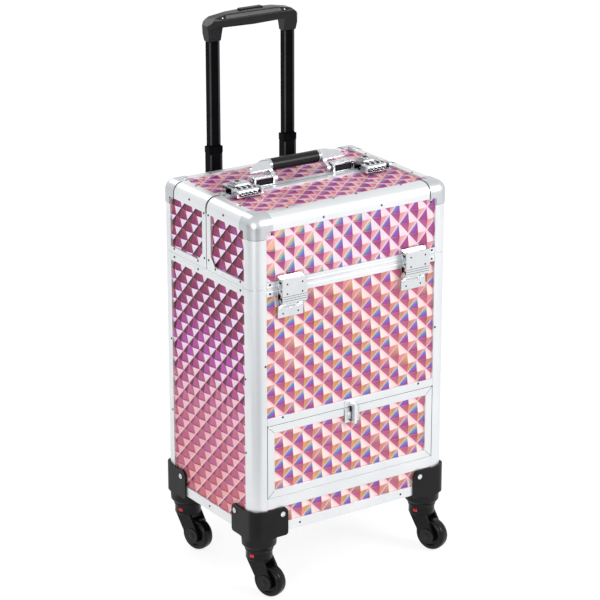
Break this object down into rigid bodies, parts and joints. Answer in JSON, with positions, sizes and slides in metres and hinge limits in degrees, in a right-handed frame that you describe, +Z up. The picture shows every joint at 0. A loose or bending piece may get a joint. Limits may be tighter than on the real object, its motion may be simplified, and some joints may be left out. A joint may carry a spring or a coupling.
{
  "type": "rolling makeup case",
  "caption": "Upright travel case on casters with split lid, cantilever trays, front drawer, embossed panels, top handle and pull-up trolley handle.",
  "frame": {"origin": "on the floor under the middle of the bounding box", "axes": "+Z up, -Y the front with the drawer, +X to the right seen from the front"},
  "size_m": [0.3546, 0.3038, 0.8238],
  "materials": {
    "board": "black lined fibreboard",
    "embossed_skin": "pink iridescent film",
    "aluminium_trim": "satin",
    "chrome_hardware": "bright",
    "tray_plastic": "fine grain",
    "grip_rubber": "satin",
    "black_tube": "satin black anodised",
    "black_plastic": "fine grain",
    "wheel_rubber": "satin"
  },
  "bodies": {
    "case": {"base_board": "board", "front_board": "board", "side_boards": "board", "back_board": "board", "front_skin": "embossed_skin", "side_skins": "embossed_skin", "back_skin": "embossed_skin", "corner_posts": "aluminium_trim", "rim_rail": "aluminium_trim", "bottom_rail": "aluminium_trim", "drawer_surround": "aluminium_trim", "drawer_shelf": "board", "shelf_battens": "board", "drawer_runners": "aluminium_trim", "catch_keeper": "chrome_hardware", "lower_hinge_leaves": "chrome_hardware", "hinge_pins": "chrome_hardware", "back_lid_shell": "board", "back_lid_skin": "embossed_skin", "back_lid_rails": "aluminium_trim", "back_lid_caps": "chrome_hardware", "back_hinge_leaves": "chrome_hardware", "back_trays": "tray_plastic", "back_tray_arms": "aluminium_trim", "lock_strikes": "chrome_hardware", "handle_brackets": "chrome_hardware", "trolley_strap": "aluminium_trim", "trolley_channels": "black_plastic", "caster_brackets": "black_plastic", "bracket_screws": "chrome_hardware"},
    "front_lid": {"front_lid_shell": "board", "front_lid_skin": "embossed_skin", "front_lid_rails": "aluminium_trim", "front_lid_caps": "chrome_hardware", "front_hinge_leaves": "chrome_hardware", "lock_bases": "chrome_hardware"},
    "front_arms": {"front_tray_arms": "aluminium_trim"},
    "front_lower_tray_body": {"front_lower_tray": "tray_plastic"},
    "front_upper_tray_body": {"front_upper_tray": "tray_plastic"},
    "left_lever": {"left_lock_lever": "chrome_hardware"},
    "right_lever": {"right_lock_lever": "chrome_hardware"},
    "bail": {"handle_bail": "chrome_hardware", "handle_grip": "grip_rubber"},
    "drawer": {"drawer_box": "board", "drawer_frame": "aluminium_trim", "drawer_skin": "embossed_skin", "catch_base": "chrome_hardware"},
    "fin": {"catch_fin": "chrome_hardware"},
    "sleeves": {"trolley_sleeves": "black_tube"},
    "tubes": {"trolley_tubes": "black_tube", "trolley_grip": "black_plastic"},
    "button": {"trolley_button": "black_plastic"},
    "front_left_caster": {"front_left_fork": "black_plastic"},
    "front_left_roller": {"front_left_wheel": "wheel_rubber"},
    "front_right_caster": {"front_right_fork": "black_plastic"},
    "front_right_roller": {"front_right_wheel": "wheel_rubber"},
    "back_left_caster": {"back_left_fork": "black_plastic"},
    "back_left_roller": {"back_left_wheel": "wheel_rubber"},
    "back_right_caster": {"back_right_fork": "black_plastic"},
    "back_right_roller": {"back_right_wheel": "wheel_rubber"}
  },
  "joints": [
    {"name": "front_lid_hinge", "type": "hinge", "parent": "case", "child": "front_lid", "pos_m": [0, -0.1381, 0.462], "axis": [1, 0, 0], "range_deg": [0, 90]},
    {"name": "front_arms_swing", "type": "hinge", "parent": "case", "child": "front_arms", "pos_m": [0, -0.0931, 0.466], "axis": [1, 0, 0], "range_deg": [0, 90]},
    {"name": "front_lower_tray_pivot", "type": "hinge", "parent": "front_lid", "child": "front_lower_tray_body", "pos_m": [0, -0.1011, 0.499], "axis": [1, 0, 0], "range_deg": [-90, 0]},
    {"name": "front_upper_tray_pivot", "type": "hinge", "parent": "front_lid", "child": "front_upper_tray_body", "pos_m": [0, -0.0641, 0.536], "axis": [1, 0, 0], "range_deg": [-90, 0]},
    {"name": "left_lock_lever_hinge", "type": "hinge", "parent": "front_lid", "child": "left_lever", "pos_m": [-0.114, -0.0271, 0.598], "axis": [1, 0, 0], "range_deg": [0, 100]},
    {"name": "right_lock_lever_hinge", "type": "hinge", "parent": "front_lid", "child": "right_lever", "pos_m": [0.114, -0.0271, 0.598], "axis": [1, 0, 0], "range_deg": [0, 100]},
    {"name": "handle_bail_hinge", "type": "hinge", "parent": "case", "child": "bail", "pos_m": [0, 0.0029, 0.599], "axis": [1, 0, 0], "range_deg": [0, 58]},
    {"name": "drawer_slide", "type": "slide", "parent": "case", "child": "drawer", "axis": [0, -1, 0], "range_m": [0, 0.175]},
    {"name": "catch_fin_turn", "type": "hinge", "parent": "drawer", "child": "fin", "pos_m": [0, -0.1351, 0.259], "axis": [0, 1, 0], "range_deg": [0, 90]},
    {"name": "sleeve_slide", "type": "slide", "parent": "case", "child": "sleeves", "axis": [0, 0, 1], "range_m": [-0.205, 0]},
    {"name": "tube_slide", "type": "slide", "parent": "sleeves", "child": "tubes", "axis": [0, 0, 1], "range_m": [-0.16, 0]},
    {"name": "button_press", "type": "slide", "parent": "tubes", "child": "button", "axis": [0, 0, -1], "range_m": [0, 0.0025], "stiffness_N_per_m": 600},
    {"name": "front_left_swivel", "type": "hinge", "parent": "case", "child": "front_left_caster", "pos_m": [-0.1495, -0.1081, 0.07], "axis": [0, 0, 1], "continuous": true},
    {"name": "front_left_wheel_spin", "type": "hinge", "parent": "front_left_caster", "child": "front_left_roller", "pos_m": [-0.14266, -0.1269, 0.025], "axis": [0.9397, 0.342, 0], "continuous": true},
    {"name": "front_right_swivel", "type": "hinge", "parent": "case", "child": "front_right_caster", "pos_m": [0.1495, -0.1081, 0.07], "axis": [0, 0, 1], "continuous": true},
    {"name": "front_right_wheel_spin", "type": "hinge", "parent": "front_right_caster", "child": "front_right_roller", "pos_m": [0.15634, -0.1269, 0.025], "axis": [0.9397, 0.342, 0], "continuous": true},
    {"name": "back_left_swivel", "type": "hinge", "parent": "case", "child": "back_left_caster", "pos_m": [-0.1495, 0.0939, 0.07], "axis": [0, 0, 1], "continuous": true},
    {"name": "back_left_wheel_spin", "type": "hinge", "parent": "back_left_caster", "child": "back_left_roller", "pos_m": [-0.14399, 0.07467, 0.025], "axis": [0.9613, 0.2756, 0], "continuous": true},
    {"name": "back_right_swivel", "type": "hinge", "parent": "case", "child": "back_right_caster", "pos_m": [0.1495, 0.0939, 0.07], "axis": [0, 0, 1], "continuous": true},
    {"name": "back_right_wheel_spin", "type": "hinge", "parent": "back_right_caster", "child": "back_right_roller", "pos_m": [0.15366, 0.07433, 0.025], "axis": [0.9781, 0.2079, 0], "continuous": true}
  ],
  "couplings": [
    {"joint": "front_arms_swing", "follows": "front_lid_hinge", "ratio": 1},
    {"joint": "front_lower_tray_pivot", "follows": "front_lid_hinge", "ratio": -1},
    {"joint": "front_upper_tray_pivot", "follows": "front_lid_hinge", "ratio": -1}
  ]
}
